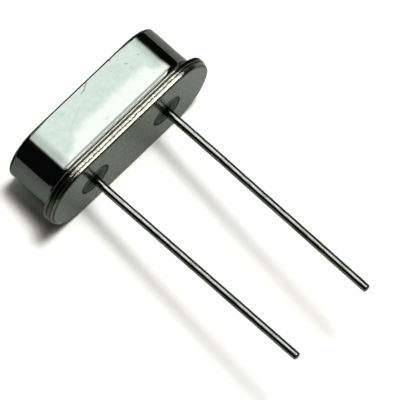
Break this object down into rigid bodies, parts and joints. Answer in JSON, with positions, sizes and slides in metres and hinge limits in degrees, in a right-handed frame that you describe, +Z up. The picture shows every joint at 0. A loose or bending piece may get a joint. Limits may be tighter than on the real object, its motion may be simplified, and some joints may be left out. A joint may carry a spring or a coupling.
{
  "type": "crystal oscillator",
  "caption": "Two-lead quartz crystal: a low obround metal can welded to a flat header with two glass-sealed wire leads, lying on its broad side.",
  "frame": {"origin": "on the floor under the middle of the whole crystal as it lies on its broad side, halfway along its overall length and width", "axes": "+X along the can's long axis, from the left lead to the right lead; +Y from the leads' tips towards the can's top; +Z up"},
  "size_m": [0.0108, 0.0166, 0.0048],
  "materials": {
    "nickel_plated_cover": "bright nickel-plated drawn steel",
    "nickel_plated_header": "satin nickel-plated stamped steel",
    "seal_glass": "dark fused sealing glass",
    "tinned_wire": "bright tinned wire",
    "clip_strip": "rolled spring strip",
    "quartz": "lapped quartz",
    "silver_film": "evaporated silver",
    "silver_adhesive": "cured silver-filled epoxy"
  },
  "bodies": {
    "root": {"can_cover": "nickel_plated_cover", "header_base": "nickel_plated_header", "glass_seal_left": "seal_glass", "glass_seal_right": "seal_glass", "lead_left": "tinned_wire", "lead_right": "tinned_wire", "spring_clip_left": "clip_strip", "spring_clip_right": "clip_strip", "quartz_blank": "quartz", "upper_electrode": "silver_film", "lower_electrode": "silver_film", "adhesive_left": "silver_adhesive", "adhesive_right": "silver_adhesive"}
  },
  "joints": []
}
